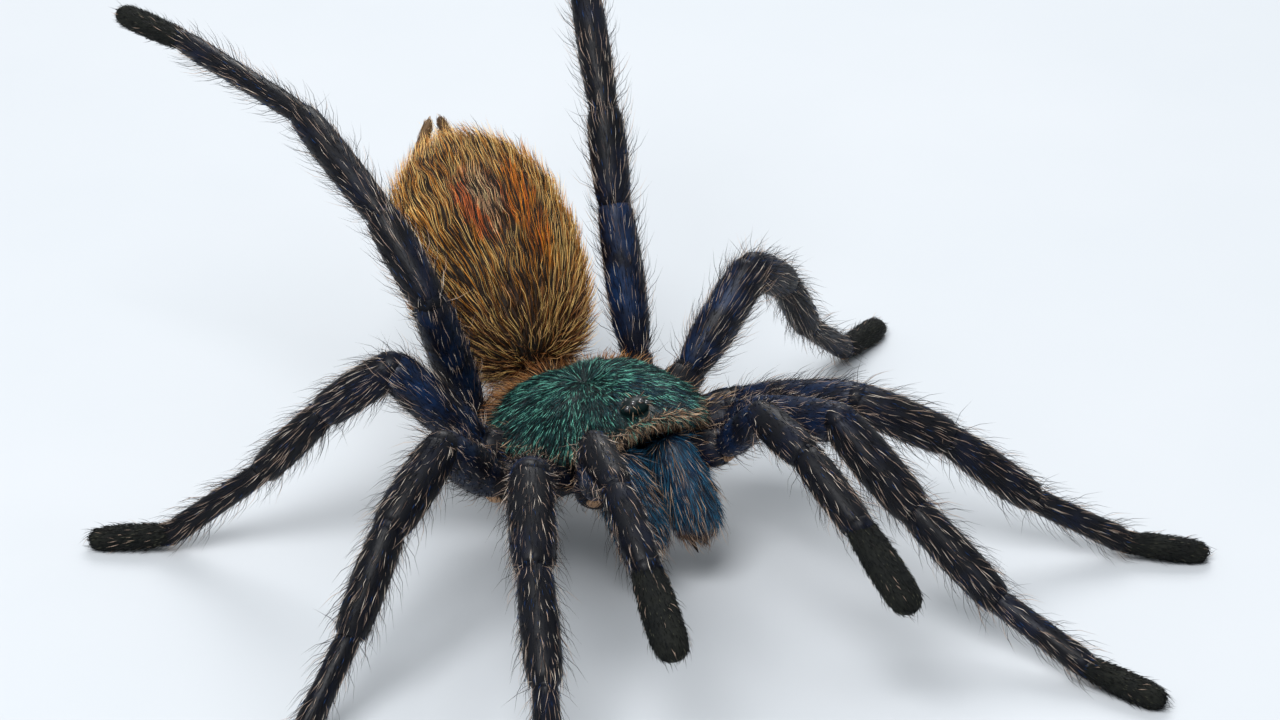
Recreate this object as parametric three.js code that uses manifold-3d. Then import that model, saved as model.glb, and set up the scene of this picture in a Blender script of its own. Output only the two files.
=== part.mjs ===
import * as THREE from "three";
import { mergeVertices } from "three/addons/utils/BufferGeometryUtils.js";
import Module from "manifold-3d";

const wasm = await Module();
wasm.setup();

// A dried tarantula on six standing feet, with its abdomen and its two hind legs raised.
// Millimetres and degrees. It stands on z = 0 and faces -Y, so its left side is +X.

// Cephalothorax, in a frame of its own: origin in the middle of the body, -Y forward, +Z up.
const bodyHeight = 13;
const bodyRoll = 4; // its left side stands higher
const bodyPitch = 10; // its front stands higher
const carapaceLength = 24;
const carapaceWidth = 20.5;
const carapaceRise = 4;
const carapaceEdge = 0; // height of the margin over the middle of the body
const carapaceSides = 26;
const clypeusRise = 2.2; // the rim over the chelicerae stands higher than the rest
const clypeusHalfWidth = 5.4;
const clypeusReach = 6; // from the front edge back to where the rim is level
const eyeMoundSize = [3.4, 2.4, 1.8];
const eyeMoundFromFront = 3.2;
const sternumSize = [13, 16, 5];
const sternumHeight = -3.2;
const coxaRadius = 2.3;
const coxaInnerReach = 0.42; // where a coxa starts, as a share of the way out to its leg
const coxaInnerHeight = -3.6;
const pedicelRadius = 1.8;
const pedicelLength = 5;

// Abdomen: an egg that rises from the pedicel towards the rear.
const abdomenLength = 30;
const abdomenWidth = 20.5;
const abdomenThickness = 19;
const abdomenPitch = 33;
const abdomenYaw = 3; // towards its left
const abdomenFront = [0, 13.8, 0.8]; // its front end, in the body's frame
const spinneretLength = 4.6;
const spinneretRadius = 0.9;
const spinneretBase = [1.9, 28.8, -2.6]; // sideways, back and up from the abdomen's front end
const spinneretTilt = 45;
const spinneretTurn = 15;

// Chelicerae and fangs.
const cheliceraLength = 11.5;
const cheliceraWidth = 5.6;
const cheliceraThickness = 7;
const cheliceraBase = [3, -8.2, -1.2];
const cheliceraPitch = -60;
const fangLength = 6;
const fangBase = 1.7;
const fangThickness = 1.3;
const fangFold = 50; // turned up against the rear of its chelicera
const fangBehindTip = [2.2, -1.4]; // back and up from the chelicera's end

const gap = 0.3; // between pieces that touch
const limbSides = 10;
const footSides = 10;
const footAxisHeight = 1.7; // of the joint before the tarsus, on a standing leg
const toeAxisHeight = 0.9; // of a standing tarsus's tip

// Each pair's segments: length, width and thickness, and where the pair leaves the body:
// outward, forward and upward from the middle of the body.
const limbSizes = {
  1: {
    root: [11.2, 7.2, -1.5],
    femur: [17, 5.2, 5.2],
    patella: [11, 5.4, 5],
    tibia: [12, 4.5, 4.3],
    metatarsus: [11, 3.2, 3.1],
    tarsus: [8, 3.4, 2.8],
  },
  2: {
    root: [13.6, 3.5, -2.1],
    femur: [14.5, 5.1, 5.1],
    patella: [10, 5.2, 4.8],
    tibia: [11, 4.4, 4.2],
    metatarsus: [10.5, 3.1, 3],
    tarsus: [8, 3.3, 2.8],
  },
  3: {
    root: [12, -3.2, -0.4],
    femur: [13, 5.3, 5.2],
    patella: [8.5, 4.8, 4.6],
    tibia: [9.5, 4, 3.9],
    metatarsus: [12, 3, 2.9],
    tarsus: [8, 3.4, 2.8],
  },
  4: {
    root: [9.6, -9.8, -0.2],
    femur: [16.5, 5, 5],
    patella: [10, 4.8, 4.6],
    tibia: [15, 4.2, 4],
    metatarsus: [18, 3, 2.9],
    tarsus: [9.5, 3.2, 2.8],
  },
  palp: {
    root: [7.4, 12.1, -2.4],
    femur: [11.5, 4, 4],
    patella: [7.5, 4.4, 4.2],
    tibia: [9.5, 4.2, 4],
    tarsus: [9.5, 4.4, 3.2],
  },
};

// Each limb's pose. Yaw turns from straight ahead towards the limb's own side, and pitch is
// above the level. A standing leg has no pitch for its last two segments: they reach the floor.
const limbPoses = {
  leg_1_left: { pair: 1, side: 1, yaw: [11, 27, 28, 27, 26], pitch: [21, -39, -36] },
  leg_2_left: { pair: 2, side: 1, yaw: [31, 56, 57, 56, 55], pitch: [17, -23, -37] },
  leg_3_left: { pair: 3, side: 1, yaw: [108, 120, 121, 123, 120], pitch: [42, -34, -55] },
  leg_4_left: { pair: 4, side: 1, yaw: [169, 163, 162, 162, 162], pitch: [62, 56, 38, 6, -4] },
  leg_1_right: { pair: 1, side: -1, yaw: [29, 25, 22, 24, 24], pitch: [32, -19, -29] },
  leg_2_right: { pair: 2, side: -1, yaw: [56, 58, 59, 59, 59], pitch: [42, -23, -48] },
  leg_3_right: { pair: 3, side: -1, yaw: [109, 118, 119, 118, 120], pitch: [48, -36, -47] },
  leg_4_right: { pair: 4, side: -1, yaw: [71, 166, 170, 161, 160], pitch: [70, 44, 24, 9, 2] },
  palp_left: { pair: "palp", side: 1, yaw: [-5, 5, 5, 5], pitch: [44, -7, -22, -29] },
  palp_right: { pair: "palp", side: -1, yaw: [27, 12, 10, 11], pitch: [54, -5, -22, -27] },
};

// Outline of each kind of segment: how far along it, and its radius as a share of the widest.
const segmentForms = {
  femur: [[0, 0.6], [0.1, 0.88], [0.4, 1], [0.75, 0.95], [1, 0.74]],
  patella: [[0, 0.58], [0.16, 0.92], [0.5, 1], [0.82, 0.94], [1, 0.72]],
  tibia: [[0, 0.64], [0.12, 0.92], [0.45, 1], [0.85, 0.92], [1, 0.74]],
  metatarsus: [[0, 0.7], [0.12, 0.95], [0.5, 0.92], [0.88, 1], [1, 0.78]],
  tarsus: [[0, 0.66], [0.14, 0.92], [0.55, 1], [0.88, 0.9], [1, 0.5]],
};
const segmentNames = ["femur", "patella", "tibia", "metatarsus", "tarsus"];
const knuckleShare = 0.6; // radius of a joint's membrane, as a share of its segment's radius

const materials = {
  carapace: new THREE.MeshStandardMaterial({ color: "#1f5e55", roughness: 0.5, metalness: 0.3 }),
  abdomen: new THREE.MeshStandardMaterial({ color: "#a8702c", roughness: 0.9, metalness: 0 }),
  spinneret: new THREE.MeshStandardMaterial({ color: "#5a4326", roughness: 0.9, metalness: 0 }),
  chelicera: new THREE.MeshStandardMaterial({ color: "#24506e", roughness: 0.6, metalness: 0.2 }),
  fang: new THREE.MeshStandardMaterial({ color: "#120d0c", roughness: 0.25, metalness: 0 }),
  femur: new THREE.MeshStandardMaterial({ color: "#1b2550", roughness: 0.6, metalness: 0.2 }),
  leg: new THREE.MeshStandardMaterial({ color: "#1a1e33", roughness: 0.7, metalness: 0.1 }),
  foot: new THREE.MeshStandardMaterial({ color: "#24261f", roughness: 0.85, metalness: 0 }),
};

function radians(degrees) {
  return THREE.MathUtils.degToRad(degrees);
}

// A closed geometry as a solid that can be joined and cut.
function solidOf(geometry) {
  const bare = new THREE.BufferGeometry();
  bare.setAttribute("position", geometry.getAttribute("position"));
  bare.setIndex(geometry.getIndex());
  const merged = mergeVertices(bare, 1e-4);
  return new wasm.Manifold(
    new wasm.Mesh({
      numProp: 3,
      vertProperties: new Float32Array(merged.getAttribute("position").array),
      triVerts: new Uint32Array(merged.getIndex().array),
    }),
  );
}

function geometryOf(solid) {
  const mesh = solid.getMesh();
  const geometry = new THREE.BufferGeometry();
  geometry.setAttribute("position", new THREE.BufferAttribute(mesh.vertProperties, 3));
  geometry.setIndex(new THREE.BufferAttribute(mesh.triVerts, 1));
  geometry.computeVertexNormals();
  return geometry;
}

// A round form along +Y from points of radius and height, widened along X and Z.
function turned(points, sides, widthShare = 1, thicknessShare = 1) {
  const profile = points.map(([radius, height]) => new THREE.Vector2(radius, height));
  const geometry = new THREE.LatheGeometry(profile, sides);
  geometry.scale(widthShare, 1, thicknessShare);
  return geometry;
}

// Heading of a limb that turns by yaw from straight ahead towards its own side.
function setDirection(object, side, yaw, pitch) {
  object.rotation.set(radians(pitch), 0, Math.PI + side * radians(yaw), "ZXY");
}

function pointAlong(start, side, yaw, pitch, distance) {
  const level = Math.cos(radians(pitch)) * distance;
  return new THREE.Vector3(
    start.x + side * Math.sin(radians(yaw)) * level,
    start.y - Math.cos(radians(yaw)) * level,
    start.z + Math.sin(radians(pitch)) * distance,
  );
}

// A limb's segment along +Y from its near joint at 0. Its far end carries the joint's membrane,
// a ball round the far joint that the next segment starts clear of.
function segmentGeometry(kind, size, nearKnuckle, isLast) {
  const [length, width, thickness] = size;
  const radius = width / 2;
  const knuckle = isLast ? 0 : knuckleShare * radius;
  const start = nearKnuckle + gap;
  const end = isLast ? length : length - 0.75 * knuckle;
  const points = [[0, start]];
  for (const [share, radiusShare] of segmentForms[kind]) {
    points.push([radiusShare * radius, start + share * (end - start)]);
  }
  if (isLast) {
    points.push([0, end + 0.2 * radius]);
  } else {
    points.push([knuckle, length]);
    points.push([0.7 * knuckle, length + 0.7 * knuckle]);
    points.push([0, length + knuckle]);
  }
  const sides = kind === "tarsus" ? footSides : limbSides;
  return turned(points, sides, 1, thickness / width);
}

// What stands on the floor is flat underneath: the geometry is cut at z = 0 of the world.
function cutAtFloor(mesh) {
  mesh.updateMatrix();
  const reach = 60;
  const below = new THREE.BoxGeometry(reach, reach, reach);
  below.translate(mesh.position.x, mesh.position.y, -reach / 2);
  below.applyMatrix4(mesh.matrix.clone().invert());
  mesh.geometry = geometryOf(solidOf(mesh.geometry).subtract(solidOf(below)));
}

function named(name, geometry, material) {
  const mesh = new THREE.Mesh(geometry, material);
  mesh.name = name;
  return mesh;
}

function limbMaterial(kind) {
  if (kind === "femur") {
    return materials.femur;
  }
  return kind === "tarsus" ? materials.foot : materials.leg;
}

// Pitch of a segment of this length that comes down from one height to another.
function pitchDown(from, to, length) {
  return THREE.MathUtils.radToDeg(Math.asin((to - from) / length));
}

function makeLimb(name, pose, root) {
  const sizes = limbSizes[pose.pair];
  const kinds = segmentNames.filter((kind) => kind in sizes);
  const stands = pose.pitch.length < kinds.length;
  const limb = new THREE.Group();
  let joint = root;
  let knuckle = (knuckleShare * sizes.femur[1]) / 2;
  kinds.forEach((kind, index) => {
    const isLast = index === kinds.length - 1;
    const length = sizes[kind][0];
    let pitch = pose.pitch[index];
    if (stands && kind === "metatarsus") {
      pitch = pitchDown(joint.z, footAxisHeight, length);
    }
    if (stands && isLast) {
      pitch = pitchDown(footAxisHeight, toeAxisHeight, length);
    }
    const geometry = segmentGeometry(kind, sizes[kind], knuckle, isLast);
    const mesh = named(`${name}_${kind}`, geometry, limbMaterial(kind));
    mesh.position.copy(joint);
    setDirection(mesh, pose.side, pose.yaw[index], pitch);
    if (stands && isLast) {
      cutAtFloor(mesh);
    }
    limb.add(mesh);
    joint = pointAlong(joint, pose.side, pose.yaw[index], pitch, length);
    knuckle = (knuckleShare * sizes[kind][1]) / 2;
  });
  return limb;
}

// The carapace: a dome on a pear-shaped outline, narrower in front.
function carapaceGeometry() {
  const profile = [
    [0, -1.6],
    [0.86, -1.2],
    [1, 0],
    [0.94, 0.36 * carapaceRise],
    [0.8, 0.64 * carapaceRise],
    [0.58, 0.86 * carapaceRise],
    [0.3, 0.97 * carapaceRise],
    [0, carapaceRise],
  ];
  const geometry = turned(profile, carapaceSides);
  geometry.rotateX(Math.PI / 2);
  const places = geometry.getAttribute("position");
  for (let i = 0; i < places.count; i += 1) {
    const share = Math.hypot(places.getX(i), places.getY(i));
    const sideways = share > 0 ? places.getX(i) / share : 0;
    const forward = share > 0 ? -places.getY(i) / share : 0;
    const halfWidth = (carapaceWidth / 2) * (1 - 0.12 * forward);
    const x = share * halfWidth * Math.sign(sideways) * Math.abs(sideways) ** 0.8;
    const y = -share * (carapaceLength / 2) * Math.sign(forward) * Math.abs(forward) ** 0.85;
    const headRise = 0.5 * Math.exp(-((x / 4.5) ** 2) - ((y + 7) / 4.5) ** 2);
    const nearFront = Math.max(0, 1 - (y + carapaceLength / 2) / clypeusReach);
    const rimRise = clypeusRise * nearFront * share ** 4 * Math.exp(-((x / clypeusHalfWidth) ** 4));
    const z = places.getZ(i);
    places.setXYZ(i, x, y, z + (z > 1 ? headRise : 0) + rimRise);
  }
  geometry.translate(0, 0, carapaceEdge);
  return geometry;
}

function ellipsoid(size, centre, columns = 12, rows = 8) {
  const geometry = new THREE.SphereGeometry(0.5, columns, rows);
  geometry.scale(...size);
  geometry.translate(...centre);
  return geometry;
}

// A coxa and its trochanter, from under the carapace out to the leg's first joint.
function coxaGeometry(root, radius, knuckle) {
  const start = new THREE.Vector3(
    root.x * coxaInnerReach,
    root.y * coxaInnerReach,
    coxaInnerHeight,
  );
  const along = root.clone().sub(start);
  const length = along.length();
  const geometry = turned(
    [
      [0, 0],
      [0.8 * radius, 0],
      [radius, 0.4 * length],
      [0.95 * radius, length - 1.6 * knuckle],
      [knuckle, length - 0.3 * knuckle],
      [0.75 * knuckle, length + 0.6 * knuckle],
      [0, length + knuckle],
    ],
    8,
  );
  const turn = new THREE.Quaternion().setFromUnitVectors(
    new THREE.Vector3(0, 1, 0),
    along.normalize(),
  );
  geometry.applyQuaternion(turn);
  geometry.translate(start.x, start.y, start.z);
  return geometry;
}

// A chelicera's basal segment, grown by a clearance where it is used to cut its seat.
function cheliceraGeometry(clearance) {
  const radius = cheliceraWidth / 2 + clearance;
  const thickness = cheliceraThickness / 2 + clearance;
  const length = cheliceraLength + clearance;
  return turned(
    [
      [0, -clearance],
      [0.7 * radius, -clearance],
      [0.94 * radius, 0.15 * length],
      [radius, 0.4 * length],
      [0.93 * radius, 0.7 * length],
      [0.66 * radius, 0.92 * length],
      [0, length],
    ],
    12,
    1,
    thickness / radius,
  );
}

function placeChelicera(mesh, side) {
  mesh.position.set(side * cheliceraBase[0], cheliceraBase[1], cheliceraBase[2]);
  setDirection(mesh, side, 0, cheliceraPitch);
}

// A fang folded back under its chelicera: a flat crescent from its base to its point.
function fangGeometry() {
  const outline = new THREE.Shape();
  outline.moveTo(0, 0);
  outline.quadraticCurveTo(0.2 * fangLength, -0.4 * fangLength, fangLength, -0.42 * fangLength);
  outline.quadraticCurveTo(0.5 * fangLength, -0.12 * fangLength, fangBase, 0.1);
  outline.closePath();
  const geometry = new THREE.ExtrudeGeometry(outline, {
    depth: fangThickness,
    bevelEnabled: false,
    curveSegments: 5,
  });
  geometry.translate(0, 0, -fangThickness / 2);
  geometry.rotateX(Math.PI / 2);
  geometry.rotateZ(Math.PI / 2);
  return geometry;
}

// The abdomen's egg, fuller towards the rear, grown by a clearance where it cuts its neighbours.
function abdomenGeometry(clearance) {
  const rings = 11;
  const points = [];
  for (let ring = 0; ring <= rings; ring += 1) {
    const turn = (Math.PI * ring) / rings;
    const radius = (abdomenWidth / 2 + clearance) * Math.sin(turn) * (1 - 0.1 * Math.cos(turn));
    const height = (abdomenLength * (1 - Math.cos(turn))) / 2 - clearance * Math.cos(turn);
    points.push([ring % rings ? radius : 0, height]);
  }
  return turned(points, 16, 1, abdomenThickness / abdomenWidth);
}

// A spinneret of three joints, each slimmer than the last.
function spinneretGeometry() {
  const step = spinneretLength / 3;
  return turned(
    [
      [0, 0],
      [spinneretRadius, 0.1],
      [spinneretRadius, step],
      [0.85 * spinneretRadius, 1.1 * step],
      [0.8 * spinneretRadius, 2 * step],
      [0.6 * spinneretRadius, 2.1 * step],
      [0.4 * spinneretRadius, 2.9 * step],
      [0, 3 * step],
    ],
    6,
  );
}

const specimen = new THREE.Group();
const body = new THREE.Group();
body.position.set(0, 0, bodyHeight);
body.rotation.set(-radians(bodyPitch), -radians(bodyRoll), 0);
specimen.add(body);
specimen.updateMatrixWorld(true);

const abdomenGroup = new THREE.Group();
abdomenGroup.position.copy(body.localToWorld(new THREE.Vector3(...abdomenFront)));
setDirection(abdomenGroup, 1, 180 - abdomenYaw, abdomenPitch);
specimen.add(abdomenGroup);
specimen.updateMatrixWorld(true);

const legRoots = {};
for (const [name, pose] of Object.entries(limbPoses)) {
  const [outward, forward, upward] = limbSizes[pose.pair].root;
  legRoots[name] = new THREE.Vector3(pose.side * outward, -forward, upward);
}

function cephalothoraxGeometry() {
  const front = -carapaceLength / 2 + eyeMoundFromFront;
  let solid = solidOf(carapaceGeometry());
  const added = [
    ellipsoid(sternumSize, [0, 0, sternumHeight], 16, 8),
    ellipsoid([13, 19, 6], [0, 0, -1.4], 12, 8),
    ellipsoid(eyeMoundSize, [0, front, carapaceEdge + 0.82 * carapaceRise], 10, 6),
  ];
  const pedicel = turned(
    [
      [0, 0],
      [pedicelRadius, 0],
      [pedicelRadius, pedicelLength],
      [0, pedicelLength],
    ],
    8,
  );
  pedicel.translate(0, abdomenFront[1] - pedicelLength + gap, abdomenFront[2]);
  added.push(pedicel);
  for (const [name, pose] of Object.entries(limbPoses)) {
    const femurRadius = limbSizes[pose.pair].femur[1] / 2;
    added.push(coxaGeometry(legRoots[name], coxaRadius, knuckleShare * femurRadius));
  }
  for (const geometry of added) {
    solid = solid.add(solidOf(geometry));
  }
  for (const side of [-1, 1]) {
    const seat = new THREE.Mesh(cheliceraGeometry(gap));
    placeChelicera(seat, side);
    seat.updateMatrix();
    solid = solid.subtract(solidOf(seat.geometry.applyMatrix4(seat.matrix)));
  }
  const fromAbdomen = body.matrixWorld.clone().invert().multiply(abdomenGroup.matrixWorld);
  solid = solid.subtract(solidOf(abdomenGeometry(gap).applyMatrix4(fromAbdomen)));
  return geometryOf(solid);
}

body.add(named("cephalothorax", cephalothoraxGeometry(), materials.carapace));

for (const [sideName, side] of [["left", 1], ["right", -1]]) {
  const chelicera = named(`chelicera_${sideName}`, cheliceraGeometry(0), materials.chelicera);
  placeChelicera(chelicera, side);
  body.add(chelicera);
  const tip = pointAlong(chelicera.position, side, 0, cheliceraPitch, cheliceraLength);
  const fang = named(`fang_${sideName}`, fangGeometry(), materials.fang);
  fang.position.set(tip.x, tip.y + fangBehindTip[0], tip.z + fangBehindTip[1]);
  fang.rotation.x = radians(fangFold);
  body.add(fang);
}

abdomenGroup.add(named("abdomen", abdomenGeometry(0), materials.abdomen));
for (const [sideName, side] of [["left", 1], ["right", -1]]) {
  const spinneret = named(`spinneret_${sideName}`, spinneretGeometry(), materials.spinneret);
  spinneret.position.set(side * spinneretBase[0], spinneretBase[1], spinneretBase[2]);
  spinneret.rotation.set(radians(spinneretTilt), 0, side * radians(spinneretTurn));
  spinneret.updateMatrix();
  const seat = abdomenGeometry(gap).applyMatrix4(spinneret.matrix.clone().invert());
  spinneret.geometry = geometryOf(solidOf(spinneret.geometry).subtract(solidOf(seat)));
  abdomenGroup.add(spinneret);
}

for (const [name, pose] of Object.entries(limbPoses)) {
  specimen.add(makeLimb(name, pose, body.localToWorld(legRoots[name].clone())));
}

// The origin goes to the middle of the bounding box, at floor level.
specimen.updateMatrixWorld(true);
const middle = new THREE.Box3().setFromObject(specimen, true).getCenter(new THREE.Vector3());
specimen.position.set(-middle.x, -middle.y, 0);
specimen.updateMatrixWorld(true);

export default specimen;
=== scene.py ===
import math

import bpy
import numpy as np
from mathutils import Matrix, Vector


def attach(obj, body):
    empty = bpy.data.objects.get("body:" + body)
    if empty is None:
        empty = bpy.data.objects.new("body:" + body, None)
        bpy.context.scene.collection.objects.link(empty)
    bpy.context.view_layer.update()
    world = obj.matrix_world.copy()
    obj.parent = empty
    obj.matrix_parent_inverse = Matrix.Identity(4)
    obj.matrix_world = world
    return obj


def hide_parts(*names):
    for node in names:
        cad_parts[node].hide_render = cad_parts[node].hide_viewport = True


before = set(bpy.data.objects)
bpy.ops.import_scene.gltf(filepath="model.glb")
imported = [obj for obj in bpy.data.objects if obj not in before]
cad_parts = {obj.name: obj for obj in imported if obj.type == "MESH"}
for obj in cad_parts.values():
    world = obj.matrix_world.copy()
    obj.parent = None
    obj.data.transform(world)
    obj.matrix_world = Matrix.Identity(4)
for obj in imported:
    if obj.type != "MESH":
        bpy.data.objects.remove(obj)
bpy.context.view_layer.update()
scene = bpy.context.scene
up = np.array([0.0, 0.0, 1.0])
mm = 0.001

# Camera, as in the photograph: angles in degrees round the point it looks at
camera = {"azimuth": -28.5, "elevation": 28.7, "distance": 0.4286, "lens": 109.1, "aim": (0.0204, 0.0266, 0)}


def makeCamera():
    turn = math.radians(camera["azimuth"])
    rise = math.radians(camera["elevation"])
    back = Vector((math.sin(turn) * math.cos(rise), -math.cos(turn) * math.cos(rise), math.sin(rise)))
    data = bpy.data.cameras.new("camera")
    data.lens = camera["lens"]
    data.clip_start = 0.01
    holder = bpy.data.objects.new("camera", data)
    holder.location = Vector(camera["aim"]) + camera["distance"] * back
    holder.rotation_euler = back.to_track_quat("Z", "Y").to_euler()
    scene.collection.objects.link(holder)
    scene.camera = holder


makeCamera()
print("camera set")

# Node helpers: a name that begins with in_ is an input, and takes a value or another node's output


def setNode(tree, node, **values):
    for name, value in values.items():
        if not name.startswith("in_"):
            setattr(node, name, value)
            continue
        key = name[3:].replace("_", " ")
        target = node.inputs[int(key) if key.isdigit() else key]
        if isinstance(value, bpy.types.NodeSocket):
            tree.links.new(value, target)
        else:
            target.default_value = value
    return node


def addNode(tree, kind, **values):
    return setNode(tree, tree.nodes.new(kind), **values)


def addMath(tree, operation, *sources, kind="ShaderNodeMath"):
    inputs = {f"in_{index}": source for index, source in enumerate(sources)}
    return addNode(tree, kind, operation=operation, **inputs).outputs[0]


def addVectors(tree, operation, *sources):
    return addMath(tree, operation, *sources, kind="ShaderNodeVectorMath")


def scaleVector(tree, vector, amount):
    return addNode(tree, "ShaderNodeVectorMath", operation="SCALE", in_0=vector, in_Scale=amount).outputs[0]


def mapRange(tree, value, **limits):
    return addNode(tree, "ShaderNodeMapRange", **limits, in_Value=value).outputs[0]


def mixColours(tree, factor, first, second):
    mix = addNode(tree, "ShaderNodeMix", data_type="RGBA", in_Factor=factor, in_6=first, in_7=second)
    return mix.outputs[2]


def addSockets(tree, way, kind, *names):
    for name in names:
        tree.interface.new_socket(name, in_out=way, socket_type="NodeSocket" + kind)


# Shader group: fine grain and blotches over Object coordinates
def makeGrainGroup():
    tree = bpy.data.node_groups.new("shellGrain", "ShaderNodeTree")
    addSockets(tree, "INPUT", "Float", "Fine Scale", "Blotch Scale")
    addSockets(tree, "OUTPUT", "Float", "Fine", "Blotch")
    entry = addNode(tree, "NodeGroupInput").outputs
    place = addNode(tree, "ShaderNodeTexCoord").outputs["Object"]
    fine = addNode(tree, "ShaderNodeTexNoise", in_Vector=place, in_Scale=entry["Fine Scale"], in_Detail=3.0)
    blotch = addNode(tree, "ShaderNodeTexNoise", in_Vector=place, in_Scale=entry["Blotch Scale"],
                     in_Detail=4.0, in_Roughness=0.6)
    addNode(tree, "NodeGroupOutput", in_Fine=fine.outputs["Fac"], in_Blotch=blotch.outputs["Fac"])
    return tree


# From the darkest tint to the lightest, a hair gets brighter and rougher
tintRange = {"brightness": (0.7, 1.2), "roughness": (0.3, 0.55)}


# Shader group: dark, middling or light by a hair's tint and the place it grows in, and darker towards its
# root, which is painted shade deep in the fur
def makeHairGroup():
    tree = bpy.data.node_groups.new("hairTone", "ShaderNodeTree")
    addSockets(tree, "INPUT", "Color", "Root", "Dark", "Mid", "Light")
    addSockets(tree, "INPUT", "Float", "Dark Share", "Light Share", "Patch Scale", "Patch Amount",
               "Root Reach")
    addSockets(tree, "OUTPUT", "Color", "Color")
    addSockets(tree, "OUTPUT", "Float", "Roughness")
    entry = addNode(tree, "NodeGroupInput").outputs
    tint = addNode(tree, "ShaderNodeAttribute", attribute_name="tint").outputs["Fac"]
    along = addNode(tree, "ShaderNodeAttribute", attribute_name="along").outputs["Fac"]
    place = addNode(tree, "ShaderNodeTexCoord").outputs["Object"]
    patch = addNode(tree, "ShaderNodeTexNoise", in_Vector=place, in_Scale=entry["Patch Scale"], in_Detail=2.0)
    centred = addMath(tree, "SUBTRACT", patch.outputs["Fac"], 0.5)
    shifted = addMath(tree, "MULTIPLY_ADD", centred, entry["Patch Amount"], tint)
    isDark = addMath(tree, "LESS_THAN", shifted, entry["Dark Share"])
    isLight = addMath(tree, "GREATER_THAN", shifted, addMath(tree, "SUBTRACT", 1.0, entry["Light Share"]))
    last = mixColours(tree, isDark, entry["Mid"], entry["Dark"])
    last = mixColours(tree, isLight, last, entry["Light"])
    # Painted shade: each hair darkens to the Root colour over the Root Reach share of its length, counted
    # from its root
    reach = mapRange(tree, along, interpolation_type="SMOOTHSTEP", in_From_Max=entry["Root Reach"])
    whole = mixColours(tree, reach, entry["Root"], last)
    least, most = tintRange["brightness"]
    bright = mapRange(tree, tint, in_To_Min=least, in_To_Max=most)
    least, most = tintRange["roughness"]
    rough = mapRange(tree, tint, in_To_Min=least, in_To_Max=most)
    addNode(tree, "NodeGroupOutput", in_Color=scaleVector(tree, whole, bright), in_Roughness=rough)
    return tree


# A patch fades between two distances from its middle, in shares of its radii, that noise has added to
patchEdge = {"noiseScale": 700.0, "noiseAmount": 1.8, "outer": 1.9, "inner": 1.6}


# Shader group: one where a point lies in a soft-edged oval round a place, tilted about x
def makePatchGroup():
    tree = bpy.data.node_groups.new("softPatch", "ShaderNodeTree")
    addSockets(tree, "INPUT", "Vector", "Centre", "Radii")
    addSockets(tree, "INPUT", "Float", "Tilt")
    addSockets(tree, "OUTPUT", "Float", "Inside")
    entry = addNode(tree, "NodeGroupInput").outputs
    place = addNode(tree, "ShaderNodeTexCoord").outputs["Object"]
    ragged = addNode(tree, "ShaderNodeTexNoise", in_Vector=place, in_Scale=patchEdge["noiseScale"],
                     in_Detail=4.0, in_Roughness=0.7)
    turned = addNode(tree, "ShaderNodeVectorRotate", rotation_type="X_AXIS",
                     in_Vector=addVectors(tree, "SUBTRACT", place, entry["Centre"]), in_Angle=entry["Tilt"])
    share = addVectors(tree, "DIVIDE", turned.outputs[0], entry["Radii"])
    far = addNode(tree, "ShaderNodeVectorMath", operation="LENGTH", in_0=share)
    edge = addMath(tree, "MULTIPLY_ADD", ragged.outputs["Fac"], patchEdge["noiseAmount"],
                   far.outputs["Value"])
    soft = mapRange(tree, edge, in_From_Min=patchEdge["outer"], in_From_Max=patchEdge["inner"])
    addNode(tree, "NodeGroupOutput", in_Inside=soft)
    return tree


grainGroup = makeGrainGroup()
hairGroup = makeHairGroup()
patchGroup = makePatchGroup()


def newMaterial(name):
    material = bpy.data.materials.new(name)
    material.use_nodes = True
    tree = material.node_tree
    tree.nodes.clear()
    shader = addNode(tree, "ShaderNodeBsdfPrincipled")
    addNode(tree, "ShaderNodeOutputMaterial", in_Surface=shader.outputs[0])
    return material, tree, shader


# Patches of another colour over the first: a colour, a centre and radii in mm, and a tilt in degrees
def paintPatches(tree, base, patches, gain=1.0):
    colour = addNode(tree, "ShaderNodeRGB")
    colour.outputs[0].default_value = (*base, 1)
    last = colour.outputs[0]
    brightest = 0.95
    for paint, centre, radii, tilt in patches:
        patch = addNode(tree, "ShaderNodeGroup", node_tree=patchGroup, in_Tilt=-math.radians(tilt),
                        in_Centre=[value * mm for value in centre], in_Radii=[value * mm for value in radii])
        painted = [min(gain * value, brightest) for value in paint]
        last = mixColours(tree, patch.outputs["Inside"], last, (*painted, 1))
    return last


# Hair: shares are those of dark and of light hairs, patch the scale and strength of lighter places, and the
# root reach the share of each hair, from its root, darkened by painted shade
def hairMaterial(name, root, dark, mid, light, shares=(0.3, 0.2), metallic=0.0, patch=(250.0, 0.5),
                 rootReach=0.5, patches=(), shade=(), specular=0.5):
    material, tree, shader = newMaterial(name)
    darkShare, lightShare = shares
    patchScale, patchAmount = patch
    tone = addNode(tree, "ShaderNodeGroup", node_tree=hairGroup, in_Root=(*root, 1), in_Dark=(*dark, 1),
                   in_Mid=(*mid, 1), in_Light=(*light, 1), in_Dark_Share=darkShare, in_Light_Share=lightShare,
                   in_Patch_Scale=patchScale, in_Patch_Amount=patchAmount, in_Root_Reach=rootReach)
    if patches or shade:
        lightGain = 1.5
        setNode(tree, tone, in_Mid=paintPatches(tree, mid, (*shade, *patches)),
                in_Light=paintPatches(tree, light, patches, lightGain))
    setNode(tree, shader, in_Base_Color=tone.outputs["Color"], in_Roughness=tone.outputs["Roughness"],
            in_Metallic=metallic, in_Specular_IOR_Level=specular)
    return material


grain = {"fineScale": 4000.0, "reliefHeight": 0.08 * mm, "smoothest": 0.8, "roughest": 1.4}


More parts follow.
